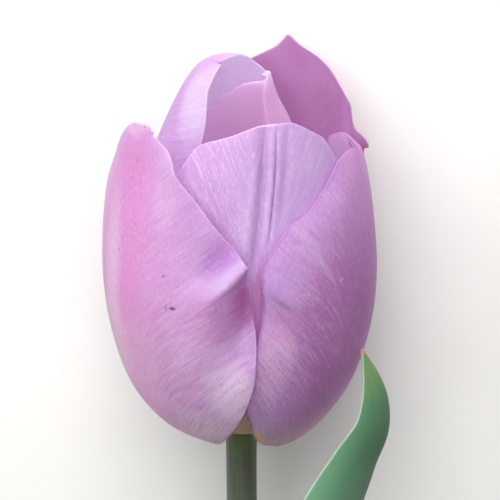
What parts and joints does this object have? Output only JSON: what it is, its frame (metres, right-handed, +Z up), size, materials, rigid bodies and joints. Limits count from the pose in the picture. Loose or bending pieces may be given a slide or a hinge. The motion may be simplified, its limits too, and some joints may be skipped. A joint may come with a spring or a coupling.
{
  "type": "single early tulip",
  "caption": "Cut single tulip lying down: a cupped goblet bloom of broad overlapping tepals on a bare round stem with clasping pointed leaves.",
  "frame": {"origin": "centre of the lying flower's box on the surface that it rests on", "axes": "+Y along the flower from its cut stem end towards the bloom's tips, +Z up out of the bloom's front, +X to the right"},
  "size_m": [0.0742, 0.3184, 0.0518],
  "materials": {
    "tepal": "satin petal, mauve pink with paler margins and a yellow foot",
    "stem": "smooth satin grey green stem",
    "leaf": "glaucous green leaf with a waxy bloom and a pale edge",
    "stamen": "dull pollen yellow",
    "pistil": "satin pale green"
  },
  "bodies": {
    "root": {"stem": "stem", "upper_leaf": "leaf", "lower_leaf": "leaf", "tepal_outer_left": "tepal", "tepal_outer_right": "tepal", "tepal_outer_back": "tepal", "tepal_inner_front": "tepal", "tepal_inner_left": "tepal", "tepal_inner_back": "tepal", "pistil": "pistil", "stamen_1": "stamen", "stamen_2": "stamen", "stamen_3": "stamen", "stamen_4": "stamen", "stamen_5": "stamen", "stamen_6": "stamen"}
  },
  "joints": []
}
